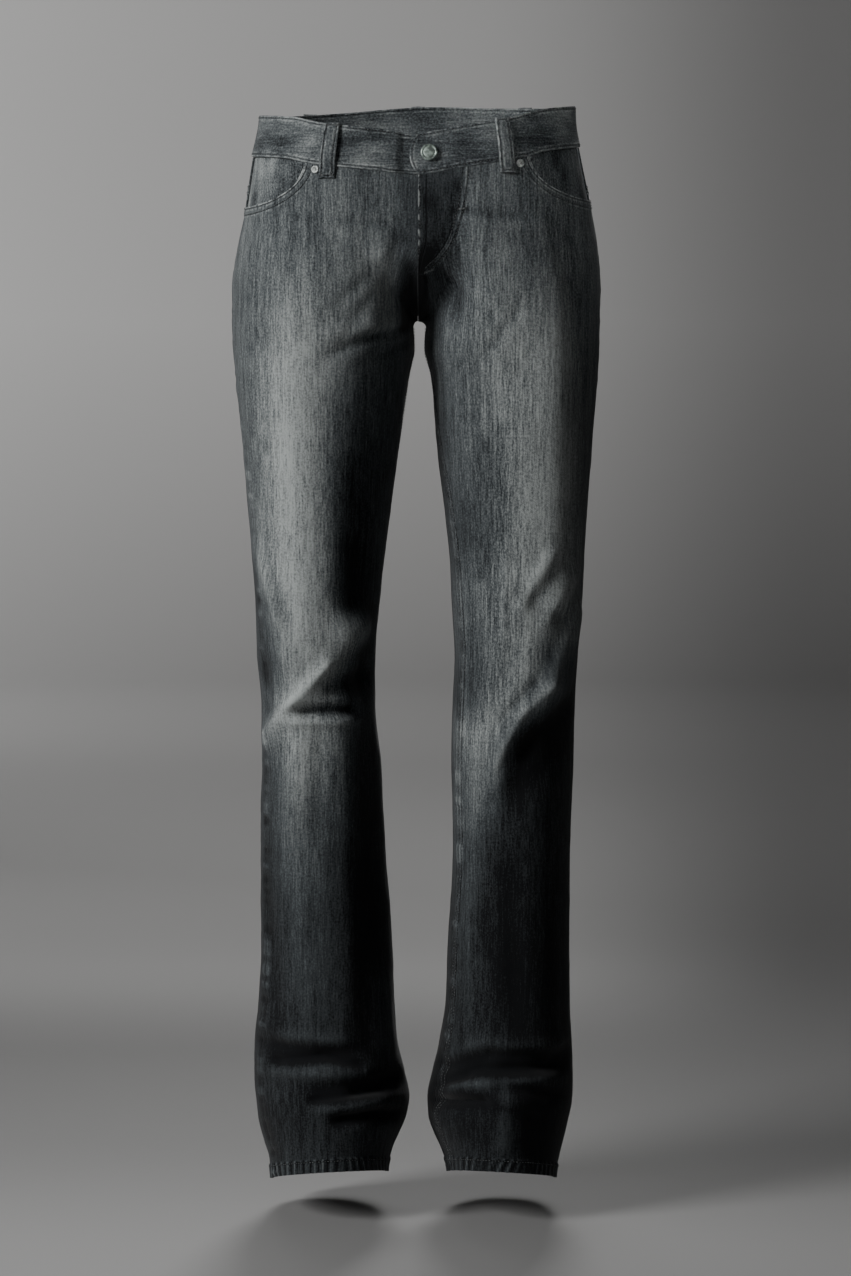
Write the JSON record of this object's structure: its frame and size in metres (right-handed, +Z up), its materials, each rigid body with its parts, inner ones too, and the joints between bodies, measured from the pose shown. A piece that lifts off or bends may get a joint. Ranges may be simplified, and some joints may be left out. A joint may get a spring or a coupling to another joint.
{
  "type": "straight leg jeans",
  "caption": "Empty straight leg jeans in their worn form, with waistband, fly, belt loops, scoop front pockets, back yoke and patch pockets.",
  "frame": {"origin": "middle of the waist opening, about 18 mm above the centre front upper edge of the waistband and 8 mm below its side upper edges", "axes": "+Z up along the legs towards the waist, +X to the wearer's left, front faces -Y"},
  "size_m": [0.3665, 0.2382, 1.0919],
  "materials": {
    "denim_panel": "charcoal black faded denim, lighter grey on the thigh fronts, matt",
    "denim_trim": "charcoal black denim, matt, light rubbed edges",
    "denim_dark": "unfaded black denim, matt",
    "antique_metal": "dull antique silver with a greenish tone"
  },
  "bodies": {
    "root": {"front_left": "denim_panel", "front_right": "denim_panel", "back_left": "denim_panel", "back_right": "denim_panel", "yoke_left": "denim_panel", "yoke_right": "denim_panel", "waistband": "denim_trim", "pocket_facing_left": "denim_dark", "pocket_facing_right": "denim_dark", "back_pocket_left": "denim_panel", "back_pocket_right": "denim_panel", "belt_loop_front_left": "denim_trim", "belt_loop_front_right": "denim_trim", "belt_loop_back_left": "denim_trim", "belt_loop_back_right": "denim_trim", "belt_loop_centre_back": "denim_trim", "fly_shield": "denim_dark", "button": "antique_metal", "rivet_left": "antique_metal", "rivet_right": "antique_metal"}
  },
  "joints": []
}
